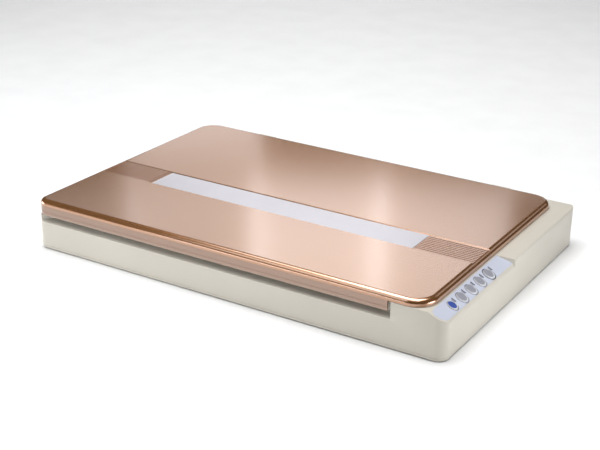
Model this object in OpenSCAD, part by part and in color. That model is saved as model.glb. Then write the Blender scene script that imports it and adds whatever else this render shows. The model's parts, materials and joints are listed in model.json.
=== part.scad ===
// Large-format flatbed scanner: a low base with a glass window, a hinged lid, a belt-driven sensor
// carriage, a sloping panel with five push buttons and a transport lock.
// X runs to the control panel side, the front is -Y, and Z is up. The origin is under the middle of the base.

/* [Base] */
// Width of the base
case_w = 589; // [585:1:593]
// Depth of the base
case_d = 406; // [404:1:410]
// Height of the deck above the table
deck_z = 59; // [58.8:0.1:59.2]
// Height of the rubber feet
foot_h = 1.5; // [1.5:0.1:1.7]
// Wall thickness of the casings
wall = 3; // [2.6:0.1:3.2]
// Radius of the base's upright corners
corner_r = 14; // [12:0.5:15]
// Depth of the finger recess in the front wall
grip_depth = 12.5; // [9:0.5:13]

/* [Lid] */
// Height of the closed lid's top face
lid_top = 68; // [67.5:0.1:69]
// Width of the lid
lid_w = 565; // [560:0.5:566]
// Depth of the lid
lid_d = 386; // [382:0.5:387]
// Radius of the rounding along the lid's top edge
lid_edge_r = 7; // [6:0.5:7]
// Plan radius of the lid's corners, apart from the front left one
lid_corner_r = 28; // [24:1:32]
// How far the lid's front lip reaches below the deck
lip_drop = 12.8; // [11:0.1:13]
// Skin thickness of the lid cover
lid_wall = 2.5; // [2:0.1:2.6]

/* [Scan window] */
// Length of the scan window
window_w = 432; // [428:1:432]
// Width of the scan window
window_d = 297; // [294:1:297]
// Thickness of the platen glass
glass_t = 3; // [2.8:0.1:3]

/* [Drive] */
// Radius of the carriage's guide rod
rod_r = 4; // [3:0.5:4]
// Module of the two drive gears
gear_module = 0.6; // [0.6:0.1:0.6]
// Teeth on the motor pinion
pinion_teeth = 18; // [18:1:18]
// Teeth on the drive gear
gear_teeth = 54; // [54:1:54]
// Radius of the belt pulleys
pulley_r = 6; // [5.5:0.1:6]

/* [Buttons] */
// Number of silver buttons behind the blue one
silver_buttons = 4; // [1:1:4]
// Distance between buttons
button_pitch = 25; // [24:0.5:25]
// Travel of a button
button_travel = 0.8; // [0.5:0.1:0.9]

/* [Hidden] */
$fn = 48;

case_colour = [0.86, 0.84, 0.80];
lid_colour = [0.76, 0.62, 0.52];
steel_colour = [0.72, 0.73, 0.75];
dark_colour = [0.16, 0.16, 0.17];
board_colour = [0.10, 0.36, 0.22];
brass_colour = [0.78, 0.62, 0.30];
white_colour = [0.93, 0.93, 0.92];

// Outer limits of the base
right_x = case_w / 2;
left_x = -case_w / 2;
front_y = -case_d / 2;
rear_y = case_d / 2;
// Clearance between pieces that move past each other
gap = 0.3;
// Radial clearance of a running fit
run_fit = 0.05;
// Parting line between the two halves of the case
split_z = 4.6;
// Slanting face along the bottom of the left wall
chamfer_in = 8;
chamfer_up = 11.5;
// Height below which the rear wall is set back
setback_z = 17;
setback_in = 4;

// Control panel: a flat slope that rounds over into the side wall
panel_start_x = right_x - 22;
panel_slope = 24;
panel_r = 10;
panel_centre_x = right_x - panel_r;
panel_tangent_x = panel_centre_x + panel_r * sin(panel_slope);
panel_tangent_z = deck_z - (panel_tangent_x - panel_start_x) * tan(panel_slope);
panel_centre_z = panel_tangent_z - panel_r * cos(panel_slope);
// Plan line of the step at the rear end of the panel
step_apex = [right_x - 19.8, -17.7];
step_angle = 24;

// Gentle fall of the deck to its rear and right edges
edge_run = 22.5;
edge_slope = 10.7;
edge_r = 3;

// Finger recess
grip_end_x = 226;
grip_start_x = -262;
grip_floor_z = 38;
grip_rise = 3.6;
grip_fade_r = 36.5;
lip_end_x = 222;
lip_seat_z = deck_z - lip_drop - 0.6;
lip_side_y = -172;

// Lid outline
lid_x0 = left_x + 1;
lid_x1 = lid_x0 + lid_w;
lid_y0 = front_y;
lid_y1 = lid_y0 + lid_d;
lid_z0 = deck_z + 0.4;
lid_radii = [corner_r, lid_corner_r, lid_corner_r, lid_corner_r];
// The rounding stops this far short of upright, at a crisp line
lid_edge_run = lid_edge_r - 0.2;
channel_y0 = -75;
channel_y1 = -27;
channel_depth = 1;
inlay_x0 = -205;
inlay_x1 = 187;
rib_count = 10;

// Scan window and glass
window_x0 = -231;
window_y0 = -155;
glass_margin = 7;
glass_z = deck_z - 4.4;

// Hinge
hinge_x = 190;
hinge_y = 189;
hinge_z = 61;
hinge_pin_r = 1.5;
ear_r = 3;
ear_w = 4;
// Arms' strips between the lid's cover and its inner panel
arm_half_w = 9.6;
arm_z0 = 62.2;
arm_z1 = 65.2;
post_w = 28;
post_d = 11.2;
post_z0 = 20;
arm_screws = [for (s = [-1, 1], dx = [-5, 5]) [s * hinge_x + dx, 162]];

// Carriage and drive
home_x = 213;
rod_y = 10;
rod_z = 22;
belt_y = -14;
belt_z = 20;
belt_h = 6;
belt_t = 1.2;
belt_inner_r = pulley_r + 0.2;
gear_x = 248;
idler_x = -252;
gear_distance = gear_module * (pinion_teeth + gear_teeth) / 2;
motor_angle = -68.25;
motor_x = gear_x + gear_distance * cos(motor_angle);
motor_y = belt_y + gear_distance * sin(motor_angle);
bracket_z = 27.4;
bracket_t = 1.8;
carriage_y0 = -166;
carriage_y1 = 153;
tray_z = 28;
sensor_y0 = -160;
sensor_y1 = 150;
sensor_z0 = 40;
sensor_z1 = 53;

// Buttons, from the blue one at the front to the rearmost
button_x = 284;
button_z = deck_z - (button_x - panel_start_x) * tan(panel_slope);
button_y0 = -164;
button_long = 16.2;
button_wide = 15.4;
start_button_scale = 0.84;

boss_places = [for (x = [-272, 0, 228], y = [-182, 174]) [x, y]];
boss_r = 4.5;
screw_r = 1.35;
board_posts = [for (x = [241, 281], y = [96, 166]) [x, y]];
board_x0 = 236;
board_z = 17.4;
usb_x = 241;
jack_x = 267;
cable_y = 72;
cable_w = 24;

// Rectangle with its own radius at each corner: front left, front right, rear right, rear left
module corner_rect(x0, x1, y0, y1, radii) {
  xs = [x0, x1, x1, x0];
  ys = [y0, y0, y1, y1];
  sx = [1, -1, -1, 1];
  sy = [1, 1, -1, -1];
  difference() {
    translate([x0, y0]) square([x1 - x0, y1 - y0]);
    for (i = [0:3]) translate([xs[i], ys[i]]) scale([sx[i], sy[i]]) corner_waste(radii[i]);
  }
}

// The part of a square corner that a radius takes away
module corner_waste(r) {
  difference() {
    translate([-1, -1]) square([r + 1, r + 1]);
    translate([r, r]) circle(r, $fn = 96);
  }
}

module block(x0, x1, y0, y1, z0, z1) {
  translate([x0, y0, z0]) cube([x1 - x0, y1 - y0, z1 - z0]);
}

// Flat shape drawn in X and Z, drawn out along Y
module along_y(y0, y1) {
  translate([0, y1, 0]) rotate([90, 0, 0]) linear_extrude(y1 - y0) children();
}

// Flat shape drawn in Y and Z, drawn out along X
module along_x(x0, x1) {
  translate([x0, 0, 0]) rotate([90, 0, 90]) linear_extrude(x1 - x0) children();
}

module rod_x(r, x0, x1, y, z) {
  translate([x0, y, z]) rotate([0, 90, 0]) cylinder(h = x1 - x0, r = r);
}

module rod_z(r, x, y, z0, z1) {
  translate([x, y, z0]) cylinder(h = z1 - z0, r = r);
}

// ---- case outline, with every face moved in by e ----

module left_chamfer(e) {
  length = norm([chamfer_in, chamfer_up]);
  shift = [e * chamfer_up / length, e * chamfer_in / length];
  lean = chamfer_in / chamfer_up;
  reach = 10;
  translate([left_x + shift[0], 0, foot_h + shift[1]]) along_y(front_y - 1, rear_y + 1) polygon([
    [chamfer_in + reach * lean, -reach], [-reach * lean, chamfer_up + reach],
    [-3 * reach, chamfer_up + reach], [-3 * reach, -reach]
  ]);
}

module rear_setback(e) {
  along_x(left_x - 1, right_x + 1) polygon([
    [rear_y + 1, setback_z + e], [rear_y - 2.5 - e, setback_z - 1 + e],
    [rear_y - setback_in - e, 0], [rear_y + 1, 0]
  ]);
}

module envelope(e, z0, z1) {
  difference() {
    translate([0, 0, z0]) linear_extrude(z1 - z0)
      corner_rect(left_x + e, right_x - e, front_y + e, rear_y - e, [for (i = [0:3]) corner_r - e]);
    left_chamfer(e);
    rear_setback(e);
  }
}

// What lies above the panel's slope, in X and Z; e moves the slope inwards
module above_panel(e) {
  start_x = panel_start_x - e * tan(panel_slope / 2);
  low = [panel_centre_x + (panel_r - e) * sin(panel_slope), panel_centre_z + (panel_r - e) * cos(panel_slope)];
  difference() {
    polygon([
      [start_x, deck_z - e], [start_x, deck_z + 5], [right_x + 5, deck_z + 5], [right_x + 5, panel_centre_z],
      [panel_centre_x, panel_centre_z], low
    ]);
    translate([panel_centre_x, panel_centre_z]) circle(panel_r - e, $fn = 96);
  }
}

module panel_cut(e) {
  difference() {
    along_y(front_y - 1, 10) above_panel(e);
    translate([step_apex[0], step_apex[1], 0]) rotate([0, 0, step_angle])
      translate([-60, e, 0]) cube([120, 60, deck_z + 10]);
  }
}

// What lies above the deck's falling edge; u is the distance in from the outer face
module above_edge(e) {
  tangent_u = edge_r - edge_r * sin(edge_slope);
  centre_z = deck_z - (edge_run - tangent_u) * tan(edge_slope) - edge_r * cos(edge_slope);
  low = [edge_r - (edge_r - e) * sin(edge_slope), centre_z + (edge_r - e) * cos(edge_slope)];
  difference() {
    polygon([
      [edge_run + e * tan(edge_slope / 2), deck_z - e], [edge_run, deck_z + 5], [-5, deck_z + 5],
      [-5, centre_z], [edge_r, centre_z], low
    ]);
    if (edge_r - e > 0.2) translate([edge_r, centre_z]) circle(edge_r - e, $fn = 64);
  }
}

module edge_cuts(e) {
  difference() {
    translate([right_x, 0, 0]) mirror([1, 0, 0]) along_y(-30, rear_y + 1) above_edge(e);
    translate([step_apex[0], step_apex[1], 0]) rotate([0, 0, step_angle])
      translate([-120, -60, 0]) cube([240, 60, deck_z + 10]);
  }
  translate([0, rear_y, 0]) mirror([0, 1, 0]) along_x(left_x - 1, right_x + 1) above_edge(e);
}

// Seat for the lid's lip and the finger recess below it
module grip_cut(e) {
  seat_in = 3.3 + e;
  difference() {
    block(left_x - 5, grip_end_x + e, front_y - 5, lip_side_y + e, lip_seat_z - e, deck_z + 5);
    translate([0, 0, lip_seat_z - 10]) linear_extrude(40)
      corner_rect(lid_x0 + seat_in, right_x + 20, lid_y0 + seat_in, lid_y1,
                  [corner_r - seat_in, 2, 2, 2]);
  }
  intersection() {
    translate([0, 0, grip_floor_z - 10]) linear_extrude(40) {
      translate([grip_start_x, front_y - 3]) square([grip_end_x + e - grip_start_x, grip_depth + 3 + e]);
      translate([grip_start_x, front_y + grip_depth - grip_fade_r]) circle(grip_fade_r + e, $fn = 180);
    }
    along_x(left_x, right_x) polygon([
      [front_y - 3, grip_floor_z - e - grip_rise / 3], [front_y + grip_depth + e, grip_floor_z + grip_rise - e],
      [front_y + grip_depth + e, deck_z + 5], [front_y - 3, deck_z + 5]
    ]);
  }
}

module case_shape(e, z0) {
  difference() {
    envelope(e, z0, deck_z - e);
    panel_cut(e);
    edge_cuts(e);
    grip_cut(e);
  }
}

// Oval outline: long across the panel, wide along Y
module oval(long, wide) {
  straight = (long - wide) / 2;
  square([2 * straight, wide], center = true);
  for (s = [-1, 1]) translate([s * straight, 0]) circle(wide / 2);
}

// Puts its children on the panel at a button's place, with Z square to the slope
module at_button(i) {
  translate([button_x, button_y0 + i * button_pitch, button_z]) rotate([0, panel_slope, 0]) children();
}

function button_size(i) = i == 0 ? start_button_scale : 1;

module button_hole(i, grow, z0, z1) {
  s = button_size(i);
  at_button(i) translate([0, 0, z0]) linear_extrude(z1 - z0) oval(button_long * s + 2 * grow, button_wide * s + 2 * grow);
}

// ---- base ----

module bottom_case() {
  color(case_colour) {
    difference() {
      union() {
        envelope(0, foot_h, split_z);
        block(-260, 260, front_y + wall + 0.3, front_y + wall + 2, split_z - 1, split_z + 3.5);
        block(right_x - wall - 2, right_x - wall - 0.3, -180, 180, split_z - 1, split_z + 3.5);
        for (p = board_posts) rod_z(3, p[0], p[1], split_z - 1, board_z);
        block(-284, -280, belt_y - 5, belt_y + 5, split_z - 1, 15);
      }
      for (p = boss_places) {
        rod_z(screw_r + 0.3, p[0], p[1], 0, 10);
        rod_z(3.2, p[0], p[1], 0, 3);
      }
      for (p = board_posts) rod_z(0.9, p[0], p[1], 8, board_z + 1);
      block(home_x - 8, home_x + 8, -187, -162, 0, 3.4);
      block(home_x - 2.5, home_x + 2.5, -179, -163, 0, 6);
    }
  }
}

module upper_case() {
  glass_x1 = window_x0 + window_w + glass_margin;
  glass_y1 = window_y0 + window_d + glass_margin;
  color(case_colour) {
    difference() {
      union() {
        difference() {
          case_shape(0, split_z + 0.2);
          case_shape(wall, 0);
        }
        for (p = boss_places) rod_z(boss_r, p[0], p[1], split_z + 0.2, deck_z - 2);
        intersection() {
          case_shape(1, 0);
          for (s = [-1, 1])
            block(s * hinge_x - post_w / 2 - 2.3, s * hinge_x + post_w / 2 + 2.3,
                  hinge_y - post_d / 2 - 2.3, hinge_y + post_d / 2 + 2.3, 18, deck_z);
        }
      }
      block(window_x0, window_x0 + window_w, window_y0, window_y0 + window_d, 40, deck_z + 1);
      block(window_x0 - glass_margin - 0.3, glass_x1 + 0.3, window_y0 - glass_margin - 0.3, glass_y1 + 0.3,
            40, glass_z + glass_t);
      for (s = [-1, 1])
        block(s * hinge_x - post_w / 2 - gap, s * hinge_x + post_w / 2 + gap,
              hinge_y - post_d / 2 - gap, hinge_y + post_d / 2 + gap, 0, deck_z + 1);
      for (p = boss_places) rod_z(screw_r + run_fit, p[0], p[1], 0, 30);
      for (i = [0:silver_buttons]) button_hole(i, 0.4, -8, 8);
      block(usb_x - 6.3, usb_x + 6.3, rear_y - 10, rear_y + 1, board_z + 1.4, board_z + 13);
      translate([jack_x, rear_y + 1, board_z + 7.1]) rotate([90, 0, 0]) cylinder(h = 12, r = 5.3);
    }
  }
}

module platen_glass() {
  color([0.80, 0.88, 0.88, 0.35])
    block(window_x0 - glass_margin, window_x0 + window_w + glass_margin,
          window_y0 - glass_margin, window_y0 + window_d + glass_margin, glass_z, glass_z + glass_t);
}

module calibration_strip() {
  color(white_colour) block(210, 224, window_y0, window_y0 + window_d, deck_z - wall - 0.4, deck_z - wall);
}

module ruler_strips() {
  color(white_colour) difference() {
    block(window_x0 - 9, window_x0 + window_w, window_y0 + window_d + 1, window_y0 + window_d + 9, deck_z, deck_z + 0.3);
    block(window_x0 - 30, window_x0 - 1, window_y0, window_y0 + window_d + 1, deck_z - 1, deck_z + 1);
  }
  color(white_colour) block(window_x0 - 9, window_x0 - 1, window_y0, window_y0 + window_d + 1, deck_z, deck_z + 0.3);
}

module panel_label() {
  film = 0.25;
  color([0.80, 0.81, 0.89]) difference() {
    intersection() {
      difference() {
        panel_cut(0);
        panel_cut(-film);
      }
      translate([0, 0, 30]) linear_extrude(40)
        corner_rect(panel_start_x + 1.2, right_x - 2.6, front_y + 2.5, 20, [8, 11, 1, 1]);
      translate([step_apex[0], step_apex[1], 0]) rotate([0, 0, step_angle])
        translate([-250, -260.8, 0]) cube([500, 260, 80]);
    }
    for (i = [0:silver_buttons]) button_hole(i, 0.4, -8, 8);
  }
}

module guide_rod() {
  color(steel_colour) rod_x(rod_r, -271, 246, rod_y, rod_z);
}

module rod_clips() {
  color(dark_colour) for (x = [-272, 239]) difference() {
    union() {
      block(x, x + 8, rod_y - 6, rod_y + 6, split_z, rod_z + 6);
      block(x - 3, x + 11, rod_y + 5, rod_y + 14, split_z, split_z + 3);
    }
    rod_x(rod_r, x - 1, x + 9, rod_y, rod_z);
  }
}

module slide_rails() {
  color(steel_colour) for (y = [-160, 144]) {
    block(-262, 232, y + 2.5, y + 4, split_z, tray_z - gap - 1);
    block(-262, 232, y, y + 8, tray_z - gap - 1.6, tray_z - gap);
    block(-262, 232, y, y + 8, split_z, split_z + 1.5);
  }
}

module motor_bracket() {
  color(steel_colour) difference() {
    union() {
      block(236, 276, -56, 1.5, bracket_z, bracket_z + bracket_t);
      block(240, 272, -56, -54.2, split_z, bracket_z + 1);
      block(267, 276, -0.3, 1.5, split_z, bracket_z + 1);
      block(240, 272, -62, -54.2, split_z, split_z + bracket_t);
    }
    rod_z(4, motor_x, motor_y, 20, 40);
    rod_z(2, gear_x, belt_y, 20, 40);
  }
}

module stepper_motor() {
  color(steel_colour) difference() {
    union() {
      rod_z(17.5, motor_x, motor_y, bracket_z + bracket_t, 46);
      rod_z(3.95, motor_x, motor_y, bracket_z, 40);
      block(motor_x - 20, motor_x + 20, motor_y - 4, motor_y + 4, bracket_z + bracket_t, bracket_z + 3);
    }
    rod_z(1.5 + run_fit, motor_x, motor_y, 20, 40);
  }
}

module gear_pin() {
  color(steel_colour) {
    rod_z(2, gear_x, belt_y, split_z, bracket_z + bracket_t);
    rod_z(4, gear_x, belt_y, split_z, 8.6);
  }
}

module idler_bracket() {
  color(dark_colour) {
    block(-266, -242, belt_y - 9, belt_y + 9, 14, 17.6);
    block(-266, -263, belt_y - 9, belt_y + 9, split_z, 15);
    block(-266, -242, belt_y - 9, belt_y + 9, split_z, split_z + 2);
  }
}

module idler_pin() {
  color(steel_colour) rod_z(2, idler_x, belt_y, 17.6, 27.5);
}

// Round wire wound on a cylinder along +Z, as one closed solid
module coil_spring(r, wire_r, length, turns) {
  sides = 6;
  steps = 12 * turns;
  points = [
    for (i = [0:steps], j = [0:sides - 1])
      let (turn = 360 * i * turns / steps, ring = 360 * j / sides, out = r + wire_r * cos(ring))
      [out * cos(turn), out * sin(turn), length * i / steps + wire_r * sin(ring)]
  ];
  faces = concat(
    [[for (j = [0:sides - 1]) j]],
    [for (i = [0:steps - 1], j = [0:sides - 1])
      [i * sides + j, (i + 1) * sides + j, (i + 1) * sides + (j + 1) % sides, i * sides + (j + 1) % sides]],
    [[for (j = [sides - 1:-1:0]) steps * sides + j]]
  );
  polyhedron(points, faces, convexity = 10);
}

module tension_spring() {
  color(steel_colour) translate([-279.4, belt_y, 10]) rotate([0, 90, 0]) coil_spring(3, 0.5, 12.8, 7);
}

module belt_outline(r) {
  for (x = [idler_x, gear_x]) translate([x, belt_y]) circle(r, $fn = 72);
  translate([idler_x, belt_y - r]) square([gear_x - idler_x, 2 * r]);
}

module drive_belt() {
  color(dark_colour) translate([0, 0, belt_z]) linear_extrude(belt_h) difference() {
    belt_outline(belt_inner_r + belt_t);
    belt_outline(belt_inner_r);
  }
}

module main_board() {
  color(board_colour) difference() {
    block(board_x0, board_x0 + 50, 56, 196, board_z, board_z + 1.6);
    for (p = board_posts) rod_z(1.6, p[0], p[1], 0, 30);
  }
}

module board_parts() {
  top = board_z + 1.6;
  color(dark_colour) {
    block(252, 270, 112, 130, top, top + 1.4);
    block(254, 266, 140, 150, top, top + 1.2);
    block(board_x0 + 0.6, board_x0 + 5, cable_y - cable_w / 2 - 1, cable_y + cable_w / 2 + 1, top, top + 4);
    for (y = [174, 184]) rod_z(3.2, 255, y, top, top + 9);
  }
}

module board_screws() {
  color(steel_colour) for (p = board_posts) {
    rod_z(0.85, p[0], p[1], 10, board_z + 2);
    rod_z(2.6, p[0], p[1], board_z + 1.6, board_z + 3.2);
  }
}

module usb_socket() {
  z = board_z + 1.6;
  color(steel_colour) difference() {
    block(usb_x - 6, usb_x + 6, rear_y - 17, rear_y - 0.6, z, z + 11);
    block(usb_x - 4.3, usb_x + 4.3, rear_y - 10, rear_y, z + 1.5, z + 9.5);
  }
  color(dark_colour) block(usb_x - 2.8, usb_x + 2.8, rear_y - 11, rear_y - 2, z + 3.9, z + 7.1);
}

module power_jack() {
  z = board_z + 1.6;
  color(dark_colour) difference() {
    union() {
      block(jack_x - 5, jack_x + 5, rear_y - 18, rear_y - 7, z, z + 11);
      translate([jack_x, rear_y - 0.6, z + 5.5]) rotate([90, 0, 0]) cylinder(h = 10, r = 5);
    }
    translate([jack_x, rear_y + 1, z + 5.5]) rotate([90, 0, 0]) cylinder(h = 11, r = 3.2);
  }
  color(steel_colour) translate([jack_x, rear_y - 2, z + 5.5]) rotate([90, 0, 0]) cylinder(h = 9, r = 1);
}

// Flat cable: along the floor, back over itself in a fold, and up to the carriage
module flat_cable() {
  t = 0.4;
  y0 = cable_y - cable_w / 2;
  y1 = cable_y + cable_w / 2;
  fold_x = -10;
  fold_r = 3;
  color([0.75, 0.76, 0.80]) {
    block(fold_x, 234, y0, y1, 6, 6 + t);
    block(fold_x, home_x - 20, y0, y1, 6 + 2 * fold_r - t, 6 + 2 * fold_r);
    along_y(y0, y1) translate([fold_x, 6 + fold_r]) difference() {
      circle(fold_r);
      circle(fold_r - t);
      translate([0, -5]) square([10, 10]);
    }
    along_y(y0, y1) polygon([
      [home_x - 20, 6 + 2 * fold_r - t], [home_x - 4, tray_z - 0.6], [home_x + 4, tray_z - 0.6],
      [home_x + 4, tray_z - 0.1], [home_x - 4.4, tray_z - 0.1], [home_x - 20, 6 + 2 * fold_r]
    ]);
    block(234 - t, 234, y0, y1, 6, board_z + 4);
    block(234 - t, board_x0 + 0.6, y0, y1, board_z + 3.6, board_z + 4);
  }
}

module cable_clip() {
  color(dark_colour) difference() {
    block(120, 128, cable_y - 16, cable_y + 16, split_z, 8.4);
    block(119, 129, cable_y - 12.3, cable_y + 12.3, 5.6, 6.8);
  }
}

module button_board() {
  mid = button_pitch * silver_buttons / 2;
  color(board_colour) at_button(0) translate([0, mid, 0])
    block(-7, 7, -mid - 10, mid + 8, -10.6, -9);
}

module tact_switches() {
  color(dark_colour) for (i = [0:silver_buttons]) at_button(i) {
    block(-3, 3, -3, 3, -9, -6.6);
    rod_z(1.5, 0, 0, -6.7, -5.4);
  }
}

module rubber_feet() {
  color(dark_colour) for (x = [-262, 0, 266], y = [-180, 180]) rod_z(8, x, y, 0, foot_h);
}

module case_screws() {
  color(steel_colour) for (p = boss_places) {
    rod_z(screw_r, p[0], p[1], 2, 24);
    rod_z(2.9, p[0], p[1], 1.7, 3);
  }
}

// ---- hinge posts ----

module hinge_post(x) {
  top = 55.8;
  color(dark_colour) difference() {
    union() {
      block(x - post_w / 2, x + post_w / 2, hinge_y - post_d / 2, hinge_y + post_d / 2, post_z0, top);
      for (x0 = [x - post_w / 2, x + post_w / 2 - ear_w]) {
        block(x0, x0 + ear_w, hinge_y - ear_r, hinge_y + ear_r, top - 1, hinge_z);
        rod_x(ear_r, x0, x0 + ear_w, hinge_y, hinge_z);
      }
    }
    rod_x(hinge_pin_r, x - 20, x + 20, hinge_y, hinge_z);
    block(x - 8, x + 8, hinge_y - 3, hinge_y + 3, post_z0 - 1, 50);
  }
}

module left_hinge_post() { hinge_post(-hinge_x); }
module right_hinge_post() { hinge_post(hinge_x); }

module hinge_pins() {
  color(steel_colour) for (s = [-1, 1])
    rod_x(hinge_pin_r, s * hinge_x - post_w / 2 - 1, s * hinge_x + post_w / 2 + 1, hinge_y, hinge_z);
}

// ---- lid ----

// Edge of the lid in section: u runs outwards from the start of the rounding
module lid_edge_section() {
  intersection() {
    square([lid_edge_run, lid_top - lid_z0]);
    translate([0, lid_top - lid_edge_r - lid_z0]) circle(lid_edge_r, $fn = 96);
  }
}

module lid_corner(cx, cy, r, start) {
  translate([cx, cy, lid_z0]) rotate([0, 0, start]) rotate_extrude(angle = 90, $fn = 96) {
    translate([r - lid_edge_run, 0]) lid_edge_section();
    square([r - lid_edge_run, lid_top - lid_z0]);
  }
}

module lid_side(length) {
  rotate([90, 0, 0]) linear_extrude(length) lid_edge_section();
}

module lid_plate() {
  r = lid_radii;
  f = lid_edge_run;
  lid_corner(lid_x0 + r[0], lid_y0 + r[0], r[0], 180);
  lid_corner(lid_x1 - r[1], lid_y0 + r[1], r[1], 270);
  lid_corner(lid_x1 - r[2], lid_y1 - r[2], r[2], 0);
  lid_corner(lid_x0 + r[3], lid_y1 - r[3], r[3], 90);
  // right, front, left and rear sides
  translate([lid_x1 - f, lid_y1 - r[2], lid_z0]) lid_side(lid_d - r[1] - r[2]);
  translate([lid_x0 + r[0], lid_y0 + f, lid_z0]) rotate([0, 0, -90]) mirror([0, 1, 0]) lid_side(lid_w - r[0] - r[1]);
  translate([lid_x0 + f, lid_y0 + r[0], lid_z0]) rotate([0, 0, 180]) lid_side(lid_d - r[0] - r[3]);
  translate([lid_x0 + r[3], lid_y1 - f, lid_z0]) rotate([0, 0, 90]) lid_side(lid_w - r[2] - r[3]);
  // the flat middle, in strips between the corners
  block(lid_x0 + r[3], lid_x1 - r[2], lid_y0 + f, lid_y1 - f, lid_z0, lid_top);
  block(lid_x0 + f, lid_x0 + r[3], lid_y0 + r[0], lid_y1 - r[3], lid_z0, lid_top);
  block(lid_x0 + r[0], lid_x0 + r[3], lid_y0 + f, lid_y0 + r[0], lid_z0, lid_top);
  block(lid_x1 - r[2], lid_x1 - f, lid_y0 + r[1], lid_y1 - r[2], lid_z0, lid_top);
}

// Front lip in section: u runs inwards from the lid's outer face
module lip_section() {
  bottom = deck_z - lip_drop;
  polygon([
    [0, lid_z0 + 0.5], [0, bottom + 5.6], [0.8, bottom + 0.6], [1.4, bottom], [2.5, bottom], [2.5, lid_z0 + 0.5]
  ]);
}

module front_lip() {
  r = corner_r;
  translate([0, front_y, 0]) along_x(lid_x0 + r, lip_end_x) lip_section();
  translate([lid_x0 + r, front_y + r, 0]) rotate([0, 0, 180]) rotate_extrude(angle = 90, $fn = 96)
    translate([r, 0]) mirror([1, 0]) lip_section();
  translate([lid_x0, 0, 0]) along_y(lid_y0 + r, lip_side_y - 3) lip_section();
}

module lid_cover() {
  rib_pitch = (channel_y1 - channel_y0) / rib_count;
  color(lid_colour) {
    difference() {
      union() {
        lid_plate();
        front_lip();
      }
      translate([0, 0, lid_z0 - 1]) linear_extrude(lid_top - lid_wall - lid_z0 + 1)
        corner_rect(lid_x0 + lid_wall, lid_x1 - lid_wall, lid_y0 + lid_wall, lid_y1 - lid_wall,
                    [for (r = lid_radii) r - lid_wall]);
      // channel, with the ribs left standing in its ends
      difference() {
        block(lid_x0 - 1, lid_x1 + 1, channel_y0, channel_y1, lid_top - channel_depth, lid_top + 1);
        for (x = [[lid_x0 - 2, inlay_x0 - 4.5], [inlay_x1 + 1.5, lid_x1 + 2]], i = [0:rib_count - 1])
          block(x[0], x[1], channel_y0 + (i + 0.3) * rib_pitch, channel_y0 + (i + 0.7) * rib_pitch,
                lid_top - channel_depth - 1, lid_top - 0.35);
      }
      for (s = [-1, 1]) block(s * hinge_x - 15.2, s * hinge_x + 15.2, lid_y1 - 5, lid_y1 + 1, 58, lid_top - 2.6);
    }
  }
}

module lid_inner_panel() {
  inset = lid_wall + 1;
  color(white_colour) difference() {
    translate([0, 0, 60.2]) linear_extrude(1.6)
      corner_rect(lid_x0 + inset, lid_x1 - inset, lid_y0 + inset, lid_y1 - inset, [for (r = lid_radii) r - inset]);
    for (s = [-1, 1]) block(s * hinge_x - 12, s * hinge_x + 12, 178, lid_y1, 58, 64);
    for (p = arm_screws) rod_z(1.2, p[0], p[1], 58, 64);
  }
}

module document_mat() {
  color(white_colour) block(window_x0 + 2, window_x0 + window_w - 2, window_y0 + 2, window_y0 + window_d - 2, 58.1, 60.2);
}

module inlay_strip() {
  color([0.90, 0.89, 0.93])
    block(inlay_x0, inlay_x1, channel_y0 + 0.8, channel_y1 - 0.8, lid_top - channel_depth, lid_top - channel_depth + 0.5);
}

module hinge_arm(x) {
  r = ear_r - 0.1;
  top_lean = 12;
  low_lean = 34;
  color(dark_colour) difference() {
    union() {
      block(x - arm_half_w, x + arm_half_w, 156, lid_y1, arm_z0, arm_z1);
      rod_x(r, x - arm_half_w, x + arm_half_w, hinge_y, hinge_z);
      // the strip bends down to its knuckle
      along_x(x - arm_half_w, x + arm_half_w) polygon([
        [lid_y1 - 1, arm_z0], [lid_y1 - 1, arm_z1], [hinge_y + r * sin(top_lean), hinge_z + r * cos(top_lean)],
        [hinge_y - r * sin(low_lean), hinge_z - r * cos(low_lean)]
      ]);
    }
    rod_x(hinge_pin_r + run_fit, x - 12, x + 12, hinge_y, hinge_z);
    for (p = arm_screws) rod_z(1.2, p[0], p[1], 58, 66);
  }
}

module left_hinge_arm() { hinge_arm(-hinge_x); }
module right_hinge_arm() { hinge_arm(hinge_x); }

module lid_screws() {
  color(steel_colour) for (p = arm_screws) {
    rod_z(2.4, p[0], p[1], deck_z + gap, 60.2);
    rod_z(1.2, p[0], p[1], 60, 65);
  }
}

module lid_bumpers() {
  color(dark_colour) for (x = [-276, 256], y = [-178, 168]) rod_z(4, x, y, deck_z + gap, 60.2);
}

// ---- carriage, at its home under the right end of the deck ----

module carriage_frame() {
  x = home_x;
  color(dark_colour) difference() {
    union() {
      block(x - 14, x + 14, carriage_y0, carriage_y1, tray_z, tray_z + 3);
      for (s = [-1, 1]) block(x + s * 11.5 - 1.5, x + s * 11.5 + 1.5, carriage_y0, carriage_y1, tray_z, 46);
      for (y = [carriage_y0, carriage_y1 - 3]) block(x - 12, x + 12, y, y + 3, tray_z, 46);
      block(x - 14, x + 14, rod_y - 9, rod_y + 9, 14, tray_z + 3);
    }
    rod_x(7, x - 20, x + 20, rod_y, rod_z);
    block(x - 3, x + 3, carriage_y0 - 1, carriage_y0 + 4.5, tray_z - 1, tray_z + 4);
  }
}

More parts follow.
